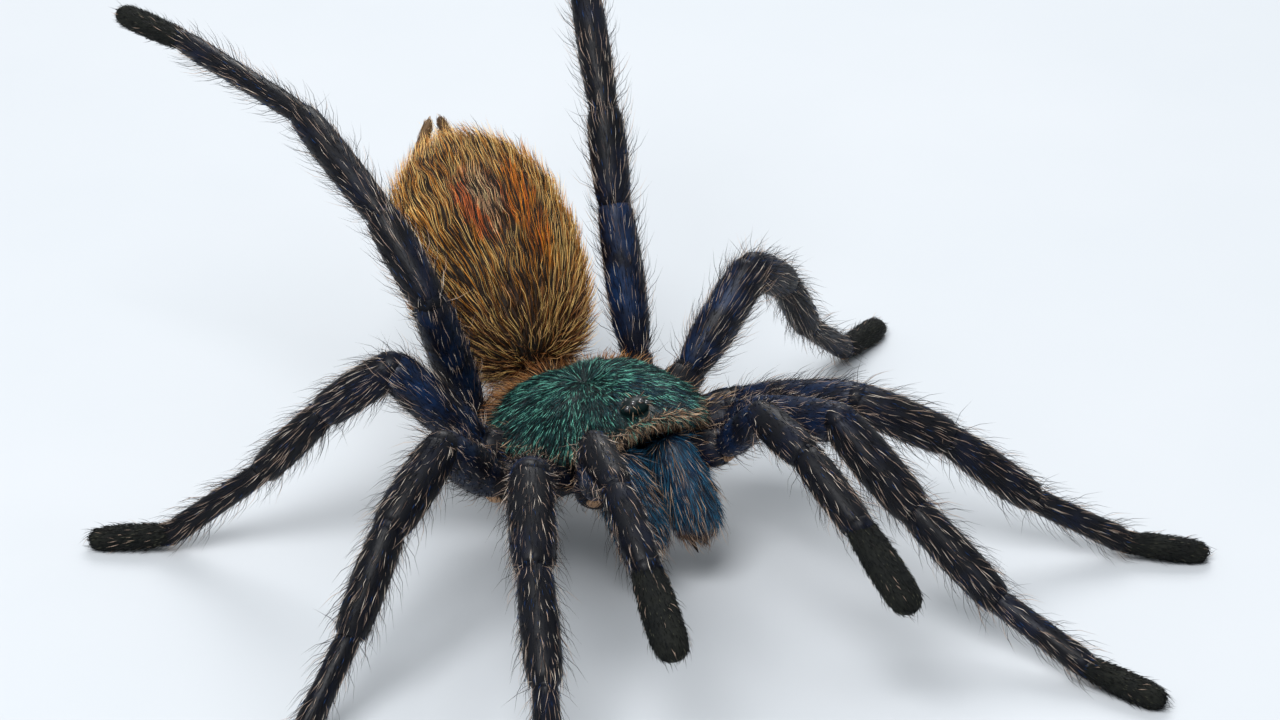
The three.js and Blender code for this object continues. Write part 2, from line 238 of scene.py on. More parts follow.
# A hard shell: dark base, a second colour in blotches, fine bump
def shellMaterial(name, dark, bright, low=0.35, high=0.7, rough=0.35, blotchScale=300.0, bump=0.25, coat=0.0,
                  specular=0.5):
    material, tree, shader = newMaterial(name)
    pattern = addNode(tree, "ShaderNodeGroup", node_tree=grainGroup, in_Fine_Scale=grain["fineScale"],
                      in_Blotch_Scale=blotchScale).outputs
    blotches = mapRange(tree, pattern["Blotch"], in_From_Min=low, in_From_Max=high)
    roughness = mapRange(tree, pattern["Fine"], in_To_Min=grain["smoothest"] * rough,
                         in_To_Max=grain["roughest"] * rough)
    relief = addNode(tree, "ShaderNodeBump", in_Strength=bump, in_Distance=grain["reliefHeight"],
                     in_Height=pattern["Fine"])
    setNode(tree, shader, in_Base_Color=mixColours(tree, blotches, (*dark, 1), (*bright, 1)),
            in_Roughness=roughness, in_Normal=relief.outputs[0], in_Coat_Weight=coat,
            in_Specular_IOR_Level=specular)
    return material


shells = {
    "carapaceShell": {"dark": (0.001, 0.004, 0.005), "bright": (0.003, 0.018, 0.018), "rough": 0.4,
                      "specular": 0.2},
    "abdomenSkin": {"dark": (0.004, 0.003, 0.002), "bright": (0.03, 0.012, 0.004), "rough": 0.75},
    "femurShell": {"dark": (0.002, 0.003, 0.009), "bright": (0.006, 0.03, 0.1), "low": 0.42, "high": 0.8,
                   "rough": 0.4, "blotchScale": 240.0, "specular": 0.25},
    "legShell": {"dark": (0.002, 0.0025, 0.005), "bright": (0.005, 0.01, 0.032), "low": 0.5, "high": 0.8,
                 "rough": 0.4, "blotchScale": 160.0, "specular": 0.2},
    "footSkin": {"dark": (0.004, 0.005, 0.005), "bright": (0.012, 0.013, 0.01), "rough": 0.7,
                 "specular": 0.15},
    "membrane": {"dark": (0.1, 0.045, 0.02), "bright": (0.62, 0.36, 0.19), "rough": 0.5, "bump": 0.5},
    "fangHorn": {"dark": (0.01, 0.006, 0.005), "bright": (0.05, 0.012, 0.008), "rough": 0.18, "coat": 0.5},
    "eyeGlass": {"dark": (0.004, 0.004, 0.005), "bright": (0.05, 0.05, 0.055), "rough": 0.06, "bump": 0,
                 "coat": 1.0},
    "spinneretSkin": {"dark": (0.05, 0.026, 0.01), "bright": (0.16, 0.09, 0.04), "rough": 0.6},
    "cheliceraShell": {"dark": (0.002, 0.006, 0.014), "bright": (0.005, 0.03, 0.08), "rough": 0.35},
}

# Patches on the abdomen's back: a worn one, a rusty one and a bright swath
wornPatch = ((0.86, 0.47, 0.24), (-0.9, 20.8, 27.8), (1.6, 4.6, 3), 33)
rustPatch = ((0.62, 0.14, 0.03), (-1.4, 20.5, 27.6), (3.4, 4.8, 4), 33)
brightSwath = ((0.95, 0.235, 0.014), (2.9, 19, 26.5), (2.2, 7.4, 3), 33)

# Darker hair at the abdomen's front, bluer hair on the head, and tan hair at the chelicerae's ends
darkFront = ((0.13, 0.045, 0.008), (-1, 11, 12.5), (12, 7.5, 10), 0)
blueHead = ((0.014, 0.075, 0.11), (3, -9, 17), (6.5, 5.5, 4), 0)
tanEnds = ((0.16, 0.08, 0.045), (0, -17, 4.2), (9, 5, 3), 0)

# The root colour of each kind of hair is painted shade deep in the fur
hairs = {
    "carapaceHair": {
        "root": (0.001, 0.005, 0.007), "dark": (0.002, 0.011, 0.016), "mid": (0.012, 0.085, 0.085),
        "light": (0.2, 0.62, 0.48), "shares": (0.44, 0.16), "metallic": 0.4, "patch": (420.0, 0.8),
        "shade": (blueHead,),
    },
    "marginHair": {
        "root": (0.03, 0.015, 0.008), "dark": (0.05, 0.025, 0.014), "mid": (0.34, 0.2, 0.11),
        "light": (0.72, 0.5, 0.32), "shares": (0.35, 0.25),
    },
    "rustHair": {
        "root": (0.03, 0.012, 0.004), "dark": (0.05, 0.018, 0.006), "mid": (0.42, 0.16, 0.04),
        "light": (0.72, 0.4, 0.16), "shares": (0.3, 0.25),
    },
    "abdomenHair": {
        "root": (0.005, 0.0025, 0.001), "dark": (0.02, 0.008, 0.002), "mid": (0.7, 0.27, 0.03),
        "light": (0.95, 0.62, 0.21), "shares": (0.33, 0.32), "patch": (170.0, 0.8), "rootReach": 0.75,
        "patches": (rustPatch, wornPatch, brightSwath), "shade": (darkFront,), "specular": 0.3,
    },
    "abdomenPile": {
        "root": (0.004, 0.002, 0.001), "dark": (0.008, 0.003, 0.001), "mid": (0.04, 0.014, 0.003),
        "light": (0.25, 0.1, 0.02), "shares": (0.45, 0.2), "specular": 0.2,
    },
    "legPile": {
        "root": (0.001, 0.0015, 0.004), "dark": (0.0015, 0.0025, 0.006), "mid": (0.004, 0.008, 0.025),
        "light": (0.012, 0.05, 0.16), "shares": (0.38, 0.16), "metallic": 0.1, "patch": (140.0, 0.9),
        "specular": 0.12,
    },
    "legBristle": {
        "root": (0.004, 0.004, 0.005), "dark": (0.005, 0.004, 0.005), "mid": (0.012, 0.009, 0.008),
        "light": (0.5, 0.36, 0.28), "shares": (0.35, 0.12), "specular": 0.15,
    },
    "legSeta": {
        "root": (0.06, 0.04, 0.03), "dark": (0.2, 0.12, 0.085), "mid": (0.6, 0.44, 0.34),
        "light": (0.85, 0.74, 0.62), "shares": (0.3, 0.3), "rootReach": 0.4,
    },
    "footPile": {
        "root": (0.002, 0.0025, 0.003), "dark": (0.004, 0.005, 0.005), "mid": (0.008, 0.01, 0.011),
        "light": (0.06, 0.06, 0.042), "shares": (0.35, 0.14), "specular": 0.1,
    },
    "cheliceraHair": {
        "root": (0.003, 0.014, 0.03), "dark": (0.002, 0.006, 0.02), "mid": (0.018, 0.15, 0.28),
        "light": (0.55, 0.38, 0.27), "shares": (0.4, 0.07), "metallic": 0.25, "patch": (200.0, 0.7),
        "rootReach": 0.35, "shade": (tanEnds,),
    },
}
materials = {name: shellMaterial(name, **look) for name, look in shells.items()}
materials.update({name: hairMaterial(name, **look) for name, look in hairs.items()})
print("materials made")

# Every skin is rings of points from one end to the other, with its own hair flow and hair masks
floorGap = 0.1 * mm
hairFloorGap = 0.12 * mm
poleAngle = 0.12


def ringData(rings, pile=None, bristle=None):
    grid = np.array(rings)
    count, sides = grid.shape[:2]
    flow = np.gradient(grid, axis=0)
    flow /= np.maximum(np.linalg.norm(flow, axis=2, keepdims=True), 1e-12)
    faces = []
    first = count * sides
    for side in range(sides):
        after = (side + 1) % sides
        for low in range(0, (count - 1) * sides, sides):
            faces.append((low + side, low + after, low + sides + after, low + sides + side))
        faces.append((first, after, side))
        faces.append((first + 1, first - sides + side, first - sides + after))
    data = {
        "points": np.concatenate([grid.reshape(-1, 3), [grid[0].mean(0)], [grid[-1].mean(0)]]),
        "flow": np.concatenate([flow.reshape(-1, 3), np.zeros((2, 3))]),
        "faces": faces,
    }
    for name, mask in (("pile", pile), ("bristle", bristle)):
        mask = np.ones((count, sides)) if mask is None else np.broadcast_to(mask, (count, sides))
        data[name] = np.concatenate([mask.ravel(), [mask[0].mean()], [mask[-1].mean()]])
    return data


def setAttribute(mesh, name, values):
    values = np.asarray(values, np.float32)
    isVector = values.ndim == 2
    attribute = mesh.attributes.new(name, "FLOAT_VECTOR" if isVector else "FLOAT", "POINT")
    attribute.data.foreach_set("vector" if isVector else "value", values.ravel())


def meshPoints(mesh):
    values = np.zeros(len(mesh.vertices) * 3, np.float32)
    mesh.vertices.foreach_get("co", values)
    return values.reshape(-1, 3).astype(float)


# Six times the volume inside a mesh, below zero where its faces point inwards
def signedVolume(mesh):
    mesh.calc_loop_triangles()
    corners = np.zeros(len(mesh.loop_triangles) * 3, np.int32)
    mesh.loop_triangles.foreach_get("vertices", corners)
    points = meshPoints(mesh)
    points -= points.mean(0)
    triangles = points[corners.reshape(-1, 3)]
    return np.einsum("ij,ij->", triangles[:, 0], np.cross(triangles[:, 1], triangles[:, 2]))


def pointsInwards(part):
    points = part["points"] - part["points"].mean(0)
    total = 0.0
    for face in part["faces"]:
        for second, third in zip(face[1:-1], face[2:]):
            total += np.dot(points[face[0]], np.cross(points[second], points[third]))
    return total < 0


def joinMesh(name, parts):
    points = np.concatenate([part["points"] for part in parts])
    faces = []
    offset = 0
    for part in parts:
        turned = pointsInwards(part)
        for face in part["faces"]:
            shifted = [corner + offset for corner in face]
            faces.append(shifted[::-1] if turned else shifted)
        offset += len(part["points"])
    mesh = bpy.data.meshes.new(name)
    mesh.from_pydata(points.tolist(), [], faces)
    for key in ("flow", "pile", "bristle"):
        setAttribute(mesh, key, np.concatenate([part[key] for part in parts]))
    mesh.shade_smooth()
    return mesh


def addPiece(name, mesh, material):
    mesh.materials.clear()
    mesh.materials.append(material)
    piece = bpy.data.objects.new(name, mesh)
    scene.collection.objects.link(piece)
    return piece


def finish(piece, slot, *nodes):
    if nodes:
        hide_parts(*nodes)
    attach(piece, "root")


def skinPiece(name, parts, material, slot, *nodes):
    finish(addPiece(name, joinMesh(name, parts), materials[material]), slot, *nodes)


def nodePoints(name):
    return meshPoints(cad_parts[name].data)


def unit(vector):
    return vector / np.linalg.norm(vector)


# The long axis of a turned solid, from its end nearer to a point
def turnedAxis(points, nearTo):
    middle = points.mean(0)
    spread = points - middle
    direction = np.linalg.eigh(spread.T @ spread)[1][:, 2]
    if np.dot(nearTo - middle, direction) > 0:
        direction = -direction
    along = spread @ direction
    return middle + along.min() * direction, middle + along.max() * direction, direction


def crossAxes(direction):
    lateral = unit(np.cross(direction, up))
    return lateral, np.cross(lateral, direction)


def smoothProfile(form, count):
    form = np.array(form)
    steps = form[0, 0] + (form[-1, 0] - form[0, 0]) * (1 - np.cos(np.linspace(0, math.pi, count))) / 2
    radii = np.interp(steps, form[:, 0], form[:, 1])
    radii[1:-1] = 0.25 * radii[:-2] + 0.5 * radii[1:-1] + 0.25 * radii[2:]
    return steps, radii


def turns(sides):
    return np.linspace(0, 2 * math.pi, sides, endpoint=False)


# Rings of an oval section from one point to another, bowed to its back by a share of its length
def ovalRings(near, far, width, thickness, form, count=22, sides=20, bow=0.0):
    lateral, dorsal = crossAxes(unit(far - near))
    steps, radii = smoothProfile(form, count)
    rings = []
    for step, radius in zip(steps, radii):
        middle = near + step * (far - near)
        middle = middle + bow * 4 * step * (1 - step) * np.linalg.norm(far - near) * dorsal
        across = np.outer(np.cos(turns(sides)), lateral) * radius * width
        upward = np.outer(np.sin(turns(sides)), dorsal) * radius * thickness
        ring = middle + across + upward
        ring[:, 2] = np.maximum(ring[:, 2], floorGap)
        rings.append(ring)
    return rings


def ballRings(middle, radii, count=10, sides=14):
    rings = []
    for turn in np.linspace(poleAngle, math.pi - poleAngle, count):
        ring = np.stack([np.cos(turns(sides)) * math.sin(turn), np.sin(turns(sides)) * math.sin(turn),
                         np.full(sides, math.cos(turn))], 1)
        rings.append(middle + ring * radii)
    return rings


# A hair's curve from under the skin to its tip, in shares of its length
seta = {"start": -0.04, "middle": 0.55, "tip": 0.9, "curveSteps": 8, "sides": 3, "joinDistance": 0.001 * mm}


# Geometry Nodes tree: setae scattered over a skin, combed along its flow, as a real mesh
def makeSetaeTree():
    tree = bpy.data.node_groups.new("setae", "GeometryNodeTree")
    addSockets(tree, "INPUT", "Geometry", "Skin")
    addSockets(tree, "INPUT", "String", "Mask")
    addSockets(tree, "INPUT", "Material", "Material")
    addSockets(tree, "INPUT", "Int", "Seed", "Segments")
    addSockets(tree, "INPUT", "Float", "Density", "Length", "Radius", "Spread", "Lift", "Stray", "Bend",
               "Wave", "Wave Scale")
    addSockets(tree, "OUTPUT", "Geometry", "Hair")
    entry = addNode(tree, "NodeGroupInput").outputs

    # One hair: a bent, tapering, three-sided stem that stands on its root
    start, middle, tip = [
        addNode(tree, "ShaderNodeCombineXYZ", in_Z=addMath(tree, "MULTIPLY", entry["Length"], seta[spot]))
        for spot in ("start", "middle", "tip")
    ]
    setNode(tree, tip, in_X=addMath(tree, "MULTIPLY", entry["Length"], entry["Bend"]))
    bow = addNode(tree, "GeometryNodeCurveQuadraticBezier", in_Resolution=seta["curveSteps"],
                  in_Start=start.outputs[0], in_Middle=middle.outputs[0], in_End=tip.outputs[0])
    even = addNode(tree, "GeometryNodeResampleCurve", mode="COUNT", in_Curve=bow.outputs[0],
                   in_Count=addMath(tree, "ADD", entry["Segments"], 1.0))
    along = addNode(tree, "GeometryNodeSplineParameter").outputs["Factor"]
    taper = addMath(tree, "SUBTRACT", 1.0, addMath(tree, "MULTIPLY", along, along))
    thin = addNode(tree, "GeometryNodeSetCurveRadius", in_Curve=even.outputs[0], in_Radius=taper)
    marked = addNode(tree, "GeometryNodeStoreNamedAttribute", data_type="FLOAT", domain="POINT",
                     in_Name="along", in_Geometry=thin.outputs[0], in_Value=along)
    section = addNode(tree, "GeometryNodeCurvePrimitiveCircle", in_Resolution=seta["sides"],
                      in_Radius=entry["Radius"])
    stem = addNode(tree, "GeometryNodeCurveToMesh", in_Curve=marked.outputs[0],
                   in_Profile_Curve=section.outputs[0], in_Scale=taper, in_Fill_Caps=True)
    closed = addNode(tree, "GeometryNodeMergeByDistance", in_Geometry=stem.outputs[0],
                     in_Distance=seta["joinDistance"])

    # Roots over the skin, as thick as the mask says
    mask = addNode(tree, "GeometryNodeInputNamedAttribute", data_type="FLOAT", in_Name=entry["Mask"])
    density = addMath(tree, "MULTIPLY", mask.outputs["Attribute"], entry["Density"])
    roots = addNode(tree, "GeometryNodeDistributePointsOnFaces", in_Mesh=entry["Skin"], in_Density=density,
                    in_Seed=entry["Seed"])

    # Each hair leans along the flow, lifted off the skin and a little astray
    combed = addNode(tree, "GeometryNodeInputNamedAttribute", data_type="FLOAT_VECTOR", in_Name="flow")
    flow = combed.outputs["Attribute"]
    lifted = scaleVector(tree, roots.outputs["Normal"], entry["Lift"])
    chance = addNode(tree, "FunctionNodeRandomValue", data_type="FLOAT_VECTOR", in_0=(-1, -1, -1),
                     in_1=(1, 1, 1), in_Seed=entry["Seed"])
    astray = scaleVector(tree, chance.outputs[0], entry["Stray"])
    aimed = addVectors(tree, "ADD", addVectors(tree, "ADD", flow, lifted), astray)
    turned = addNode(tree, "FunctionNodeAxesToRotation", primary_axis="Z", secondary_axis="X", in_0=aimed,
                     in_1=flow)

    # Copies of the hair in different sizes, each with a tint of its own
    size = addNode(tree, "FunctionNodeRandomValue", data_type="FLOAT",
                   in_2=addMath(tree, "SUBTRACT", 1.0, entry["Spread"]), in_3=1.0)
    copies = addNode(tree, "GeometryNodeInstanceOnPoints", in_Points=roots.outputs["Points"],
                     in_Instance=closed.outputs[0], in_Rotation=turned.outputs[0], in_Scale=size.outputs[1])
    shade = addNode(tree, "FunctionNodeRandomValue", data_type="FLOAT", in_Seed=7)
    tinted = addNode(tree, "GeometryNodeStoreNamedAttribute", data_type="FLOAT", domain="INSTANCE",
                     in_Name="tint", in_Geometry=copies.outputs[0], in_Value=shade.outputs[1])
    real = addNode(tree, "GeometryNodeRealizeInstances", in_0=tinted.outputs[0])

    # Neighbours bend the same way towards their tips, and nothing goes through the floor
    place = addNode(tree, "GeometryNodeInputPosition").outputs[0]
    noise = addNode(tree, "ShaderNodeTexNoise", in_Vector=place, in_Scale=entry["Wave Scale"], in_Detail=1.0)
    centred = addVectors(tree, "SUBTRACT", noise.outputs["Color"], (0.5, 0.5, 0.5))
    stored = addNode(tree, "GeometryNodeInputNamedAttribute", data_type="FLOAT", in_Name="along")
    amount = addMath(tree, "MULTIPLY", stored.outputs["Attribute"], entry["Wave"])
    waved = addNode(tree, "GeometryNodeSetPosition", in_Geometry=real.outputs[0],
                    in_Offset=scaleVector(tree, centred, amount))
    parts = addNode(tree, "ShaderNodeSeparateXYZ", in_0=place).outputs
    whole = addNode(tree, "ShaderNodeCombineXYZ", in_X=parts["X"], in_Y=parts["Y"],
                    in_Z=addMath(tree, "MAXIMUM", parts["Z"], hairFloorGap))
    kept = addNode(tree, "GeometryNodeSetPosition", in_Geometry=waved.outputs[0],
                   in_Position=whole.outputs[0])
    dressed = addNode(tree, "GeometryNodeSetMaterial", in_Geometry=kept.outputs[0],
                      in_Material=entry["Material"])
    addNode(tree, "NodeGroupOutput", in_0=dressed.outputs[0])
    return tree


setaeTree = makeSetaeTree()
hairSeeds = iter(range(11, 1000, 7))
hairPieces = []

# What a kind of hair has unless its own dictionary says otherwise; length, radius and wave are in mm
plainHair = {"spread": 0.5, "lift": 0.4, "stray": 0.15, "bend": 0.3, "wave": 0.3, "waveScale": 900.0,
             "segments": 2}


def growHair(name, parts, mask, material, slot, count, **values):
    skin = joinMesh(name + "_skin", parts)
    weights = np.concatenate([part[mask] for part in parts])
    area = 0.0
    for face in skin.polygons:
        area += face.area * weights[list(face.vertices)].mean()
    carrier = addPiece(name + "_carrier", skin, materials[material])
    modifier = carrier.modifiers.new("setae", "NODES")
    modifier.node_group = setaeTree
    values = {**plainHair, **values}
    chosen = {
        "Mask": mask, "Material": materials[material], "Seed": next(hairSeeds),
        "Segments": values["segments"],
        "Density": count / area, "Length": values["length"] * mm, "Radius": values["radius"] * mm,
        "Spread": values["spread"], "Lift": values["lift"], "Stray": values["stray"], "Bend": values["bend"],
        "Wave": values["wave"] * mm, "Wave Scale": values["waveScale"],
    }
    for socket in setaeTree.interface.items_tree:
        if socket.in_out == "INPUT" and socket.name in chosen:
            modifier[socket.identifier] = chosen[socket.name]
    skin.update()
    graph = bpy.context.evaluated_depsgraph_get()
    ready = carrier.evaluated_get(graph)
    grown = bpy.data.meshes.new_from_object(ready, preserve_all_data_layers=True, depsgraph=graph)
    bpy.data.objects.remove(carrier)
    if signedVolume(grown) < 0:
        grown.flip_normals()
    grown.name = name
    piece = addPiece(name, grown, materials[material])
    hairPieces.append(piece)
    finish(piece, slot)


# Limbs: the joints and sizes come from the frame's own nodes, whose ball and gap at each joint are these
ballShare = 0.6
ballGap = 0.3 * mm
segmentKinds = ("femur", "patella", "tibia", "metatarsus", "tarsus")
bodyMiddle = np.array([0, -2.3, 13]) * mm


def readLimb(limb):
    segments = []
    near = bodyMiddle
    for kind in segmentKinds:
        node = f"{limb}_{kind}"
        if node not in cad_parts:
            continue
        points = nodePoints(node)
        start, end, direction = turnedAxis(points, near)
        width = np.abs((points - start) @ crossAxes(direction)[0]).max()
        if kind == "femur":
            near = start - (ballShare * width + ballGap) * direction
        if kind == "tarsus":
            far = points[np.argmax(np.linalg.norm(points - near, axis=1))]
            width = np.abs((points - near) @ crossAxes(unit(far - near))[0]).max()
        else:
            far = end - ballShare * width * direction
        thickness = ((points - near) @ crossAxes(unit(far - near))[1]).max()
        segments.append({"kind": kind, "node": node, "near": near, "far": far, "width": width,
                         "thickness": thickness})
        near = far
    return segments


# Outlines of the segments: share of the way from joint to joint, and share of the half width
segmentForms = {
    "femur": [(0, 0.3), (0.03, 0.6), (0.11, 0.78), (0.25, 0.93), (0.45, 1), (0.7, 0.98), (0.9, 0.92),
              (0.98, 0.86), (1.02, 0.7), (1.04, 0.35)],
    "patella": [(-0.07, 0.35), (-0.05, 0.68), (0.01, 0.84), (0.12, 0.93), (0.35, 1), (0.6, 1), (0.85, 0.95),
                (0.98, 0.86), (1.03, 0.66), (1.05, 0.35)],
    "tibia": [(-0.04, 0.4), (-0.02, 0.7), (0.04, 0.86), (0.14, 0.94), (0.45, 1), (0.75, 0.97), (0.92, 0.9),
              (0.99, 0.8), (1.02, 0.6), (1.03, 0.35)],
    "metatarsus": [(-0.03, 0.5), (0, 0.8), (0.05, 0.92), (0.15, 0.95), (0.3, 0.94), (0.6, 0.94), (0.88, 1),
                   (0.98, 0.92), (1.01, 0.6)],
    "tarsus": [(-0.03, 0.5), (0, 0.8), (0.15, 0.92), (0.5, 1), (0.8, 0.98), (0.93, 0.82), (0.985, 0.5),
               (1, 0.2)],
}
shellOf = {"femur": "femurShell", "tarsus": "footSkin"}
slotOf = {"femur": "femur_hair", "tarsus": "foot_pad"}
limbLook = {
    "skinShare": 0.87, "sides": 28, "stripeHalfAngle": 8, "stripeAngles": (64, 116), "stripeHair": 0.15,
    "knuckleShare": 0.8, "knuckleHair": 2, "membraneShare": 0.56, "membraneDrop": 0.34,
}
limbHair = {
    "pile": {"length": 1.2, "radius": 0.04, "lift": 0.35, "stray": 0.2, "bend": 0.15, "wave": 0.4},
    "bristles": {"length": 4.1, "radius": 0.03, "lift": 0.85, "stray": 0.35, "bend": 0.28, "wave": 0.8,
                 "spread": 0.7},
    "setae": {"length": 2.5, "radius": 0.03, "lift": 0.3, "stray": 0.16, "bend": 0.06, "wave": 0.9,
              "spread": 0.6},
    "foot_bristles": {"length": 1.8, "radius": 0.03, "lift": 0.6, "stray": 0.3, "bend": 0.2, "wave": 0.3,
                      "spread": 0.6},
    "scopula": {"length": 0.75, "radius": 0.045, "lift": 0.5, "stray": 0.2, "bend": 0.2, "wave": 0.2},
}
hairCounts = {
    "leg": {"pile": 2000, "bristles": 1400, "setae": 750, "foot_bristles": 160, "scopula": 800},
    "palp": {"pile": 1200, "bristles": 560, "setae": 380, "foot_bristles": 160, "scopula": 800},
}


# Two nearly bare lines run along the back of a patella and a tibia
def stripeMask(kind, sides):
    mask = np.ones(sides)
    if kind in ("patella", "tibia"):
        angles = np.degrees(turns(sides))
        for line in limbLook["stripeAngles"]:
            mask[np.abs(angles - line) < limbLook["stripeHalfAngle"]] = limbLook["stripeHair"]
    return mask


def makeLimb(limb):
    segments = readLimb(limb)
    share, sides = limbLook["skinShare"], limbLook["sides"]
    shanks, feet, knuckles, membranes = [], [], [], []
    for segment in segments:
        kind, near, far = segment["kind"], segment["near"], segment["far"]
        half = share * segment["width"]
        rings = ovalRings(near, far, half, share * segment["thickness"], segmentForms[kind], sides=sides)
        data = ringData(rings, pile=stripeMask(kind, sides))
        skinPiece(segment["node"] + "_skin", [data], shellOf.get(kind, "legShell"),
                  slotOf.get(kind, "leg_hair"), segment["node"])
        (feet if kind == "tarsus" else shanks).append(data)
        radii = np.full(3, limbLook["knuckleShare"] * half)
        ball = ringData(ballRings(near, radii), pile=limbLook["knuckleHair"])
        ball["flow"][:] = unit(far - near)
        knuckles.append(ball)
        dropped = near - limbLook["membraneDrop"] * half * crossAxes(unit(far - near))[1]
        membranes.append(ringData(ballRings(dropped, np.full(3, limbLook["membraneShare"] * half))))
    skinPiece(limb + "_knuckles", knuckles, "legShell", "leg_hair")
    skinPiece(limb + "_membranes", membranes, "membrane", "leg_hair")
    counts = hairCounts[limb.split("_")[0]]
    for hair, parts, mask, material, slot in (
        ("pile", shanks + knuckles, "pile", "legPile", "leg_hair"),
        ("bristles", shanks, "bristle", "legBristle", "leg_hair"),
        ("setae", shanks, "bristle", "legSeta", "leg_hair"),
        ("foot_bristles", feet, "bristle", "legBristle", "foot_pad"),
        ("scopula", feet, "pile", "footPile", "foot_pad"),
    ):
        growHair(f"{limb}_{hair}", parts, mask, material, slot, counts[hair], **limbHair[hair])
    return segments


limbNames = [f"leg_{pair}_{side}" for pair in (1, 2, 3, 4) for side in ("left", "right")]
limbNames += ["palp_left", "palp_right"]
limbs = {limb: makeLimb(limb) for limb in limbNames}
print("limbs made")

# The body frame: x to its left, y to its rear, z up its back, tilted a little on the ground
bodyPose = {"centre": (0.026, -2.307, 13), "pitch": 10, "roll": 4}
bodyTurn = np.array(Matrix.Rotation(math.radians(-bodyPose["pitch"]), 3, "X")
                    @ Matrix.Rotation(math.radians(-bodyPose["roll"]), 3, "Y"))


def fromBody(points):
    return (np.array(bodyPose["centre"]) + np.asarray(points, float) @ bodyTurn.T) * mm


# A ball in the body frame: its middle and radii in mm
def bodyBall(middle, radii, **detail):
    return ringData([fromBody(ring) for ring in ballRings(np.array(middle), np.array(radii), **detail)])


# Eye mound with its eight eyes: sideways, forward and up from its middle, and radius, in mm
eyeMound = {"middle": (0, -8.6, 3.35), "size": (1.55, 1.2, 1.0), "bareReach": 1.25}
eyes = [(0.4, -0.65, 0.6, 0.36), (1.05, -0.6, 0.25, 0.34), (1.1, 0.3, 0.35, 0.28), (0.62, 0.38, 0.78, 0.21)]
eyeTuft = {"count": 60, "length": 1.2, "radius": 0.035, "lift": 1.2, "stray": 0.7, "bend": 0.2, "wave": 0.8}

# Cephalothorax: a low dome with a raised head, grooves from the fovea and an overhanging rim
carapace = {
    "length": 23.4, "width": 20, "rise": 3.6, "frontTaper": 0.12, "sideRoundness": 0.8, "endRoundness": 0.85,
    "domePower": 2.6, "headRise": 1.3, "headY": -7, "headSpan": 5.2, "foveaY": 2.4, "foveaDepth": 0.9,
    "foveaSpan": 0.12, "clypeusRise": 2.2, "clypeusHalfWidth": 5.4, "clypeusReach": 6, "grooveDepth": 0.35,
    "grooves": 8, "rings": 26, "sides": 72, "innerRing": 0.03,
    "underRim": ((0.985, 0.45), (0.93, 0.8), (0.8, 1.4), (0.6, 2.2), (0.3, 2.6)),  # share outwards, drop
    "clypeusFringe": 4, "clypeusFringeStart": 2, "rearFringeRings": 5, "rearFringeStart": 1.4,
}
carapaceHair = {
    "pile": {"count": 13000, "length": 2.1, "radius": 0.037, "lift": 0.15, "stray": 0.12, "bend": 0.02,
             "wave": 1.0, "waveScale": 500.0},
    "fringe": {"count": 2300, "length": 2.3, "radius": 0.036, "lift": 0.4, "stray": 0.4, "bend": -0.1,
               "wave": 1.2},
    "rearFringe": {"count": 1300, "length": 4.4, "radius": 0.04, "lift": 1.0, "stray": 0.4, "bend": 0.15,
                   "wave": 1.8},
}


def carapacePoint(turn, share):
    forward = math.cos(turn)
    sideways = math.sin(turn)
    halfWidth = carapace["width"] / 2 * (1 - carapace["frontTaper"] * forward)
    x = halfWidth * math.copysign(abs(sideways) ** carapace["sideRoundness"], sideways) * share
    y = -carapace["length"] / 2 * math.copysign(abs(forward) ** carapace["endRoundness"], forward) * share
    y += carapace["foveaY"] * (1 - share)
    dome = carapace["rise"] * (1 - share ** carapace["domePower"])
    head = math.exp(-(x / carapace["headSpan"]) ** 2 - ((y - carapace["headY"]) / carapace["headSpan"]) ** 2)
    groove = 0.5 + 0.5 * math.cos(carapace["grooves"] * turn)
    depth = carapace["grooveDepth"] * groove ** 4 * math.sin(math.pi * min(share, 1)) ** 0.8
    pit = carapace["foveaDepth"] * math.exp(-(share / carapace["foveaSpan"]) ** 2)
    nearFront = max(0, 1 - (y + carapace["length"] / 2) / carapace["clypeusReach"])
    level = math.exp(-(x / carapace["clypeusHalfWidth"]) ** 4)
    rim = carapace["clypeusRise"] * nearFront * share ** 4 * level
    return x, y, dome + carapace["headRise"] * head + rim - depth - pit


def makeCarapace():
    sides = carapace["sides"]
    shares = np.linspace(carapace["innerRing"], 1, carapace["rings"])
    top = len(shares)
    rings = [fromBody([carapacePoint(turn, share) for turn in turns(sides)]) for share in shares]
    for share, drop in carapace["underRim"]:
        under = []
        for turn in turns(sides):
            x, y, z = carapacePoint(turn, 1)
            under.append((x * share, y * share, z - drop))
        rings.append(fromBody(under))
    pile = np.ones((len(rings), sides))
    pile[top:] = 0
    for row, share in enumerate(shares):
        for column, turn in enumerate(turns(sides)):
            x, y = carapacePoint(turn, share)[:2]
            sideways = x / eyeMound["size"][0]
            forward = (y - eyeMound["middle"][1]) / eyeMound["size"][1]
            if math.hypot(sideways, forward) < eyeMound["bareReach"]:
                pile[row, column] = 0
    towardsFront = 3 * np.cos(turns(sides))
    rim = np.zeros((len(rings), sides))
    rim[top - 2:top + 2] = 1 + carapace["clypeusFringe"] * np.clip(
        towardsFront - carapace["clypeusFringeStart"], 0, 1)
    rear = np.zeros((len(rings), sides))
    rear[top - carapace["rearFringeRings"]:top] = np.clip(-towardsFront - carapace["rearFringeStart"], 0, 1)
    data = ringData(rings, pile=pile, bristle=rim)
    skinPiece("carapace", [data], "carapaceShell", "carapace_hair", "cephalothorax")
    growHair("carapace_pile", [data], "pile", "carapaceHair", "carapace_hair", **carapaceHair["pile"])
    growHair("carapace_fringe", [data], "bristle", "marginHair", "carapace_hair", **carapaceHair["fringe"])
    growHair("carapace_rear_fringe", [ringData(rings, pile=rear)], "pile", "rustHair", "carapace_hair",
             **carapaceHair["rearFringe"])


